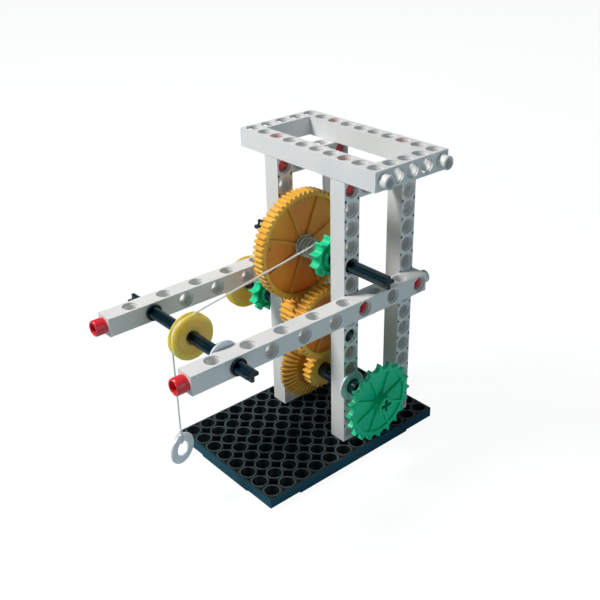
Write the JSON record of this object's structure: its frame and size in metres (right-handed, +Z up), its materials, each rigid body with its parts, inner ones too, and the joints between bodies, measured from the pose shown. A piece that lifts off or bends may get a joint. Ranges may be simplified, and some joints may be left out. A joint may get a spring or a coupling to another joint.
{
  "type": "pulley demonstrator",
  "caption": "Classroom winch model: a hand wheel turns gears on a pegged frame, and a string over a guide pulley between two arms lifts a hanging washer.",
  "frame": {"origin": "centre of the base plate's underside, on the surface it stands on", "axes": "+X along the base away from the hanging load, +Y along the axles away from the hand wheel, +Z up"},
  "size_m": [0.1663, 0.128, 0.167],
  "materials": {
    "frame_white": "satin moulded plastic",
    "black_base": "satin moulded plastic",
    "black_axle": "satin moulded plastic",
    "orange_gear": "slightly translucent moulded plastic",
    "green_sprocket": "gloss moulded plastic",
    "yellow_pulley": "gloss moulded plastic",
    "red_peg": "gloss moulded plastic",
    "white_washer": "slightly translucent moulded plastic",
    "string": "twisted cotton string"
  },
  "bodies": {
    "root": {"base_plate": "black_base", "near_side_frame": "frame_white", "far_side_frame": "frame_white", "top_frame": "frame_white", "near_arm": "frame_white", "far_arm": "frame_white", "near_arm_end_peg": "red_peg", "far_arm_end_peg": "red_peg", "connector_pins": "red_peg", "string_run": "string", "string_drop": "string"},
    "winch": {"winch_axle": "black_axle", "winch_gear": "orange_gear", "winch_sprocket": "green_sprocket", "string_winding": "string"},
    "intermediate": {"intermediate_axle": "black_axle", "intermediate_gear": "orange_gear", "intermediate_pinions": "orange_gear", "far_spacer_bush": "black_axle", "far_sprocket": "green_sprocket", "far_pulley": "yellow_pulley"},
    "crank": {"crank_axle": "black_axle", "hand_wheel": "green_sprocket", "crank_outer_bush": "black_axle", "crank_washer": "white_washer", "crank_inner_bush": "black_axle", "crank_pinion": "orange_gear", "crown_gear": "orange_gear"},
    "guide": {"guide_axle": "black_axle", "guide_pulley": "yellow_pulley", "guide_washer": "white_washer", "guide_stop": "black_axle", "near_arm_collar": "black_axle", "far_arm_collar": "black_axle"},
    "weight": {"weight_washer": "white_washer", "weight_knot": "string"}
  },
  "joints": [
    {"name": "winch_spin", "type": "hinge", "parent": "root", "child": "winch", "pos_m": [0.005, 0, 0.112], "axis": [0, 1, 0], "range_deg": [0, 385]},
    {"name": "intermediate_spin", "type": "hinge", "parent": "root", "child": "intermediate", "pos_m": [0.005, 0, 0.072], "axis": [0, 1, 0], "range_deg": [-1156, 0]},
    {"name": "crank_spin", "type": "hinge", "parent": "root", "child": "crank", "pos_m": [0.005, 0, 0.042], "axis": [0, 1, 0], "range_deg": [0, 2311]},
    {"name": "guide_spin", "type": "hinge", "parent": "root", "child": "guide", "pos_m": [-0.075, 0, 0.092], "axis": [0, 1, 0], "range_deg": [0, 188.11]},
    {"name": "weight_lift", "type": "slide", "parent": "root", "child": "weight", "axis": [0, 0, 1], "range_m": [0, 0.03514], "deforming": ["string_drop"]}
  ],
  "couplings": [
    {"joint": "intermediate_spin", "follows": "winch_spin", "ratio": -3},
    {"joint": "crank_spin", "follows": "winch_spin", "ratio": 6},
    {"joint": "guide_spin", "follows": "winch_spin", "ratio": 0.486},
    {"joint": "weight_lift", "follows": "winch_spin", "m_per_rad": 0.0052}
  ]
}
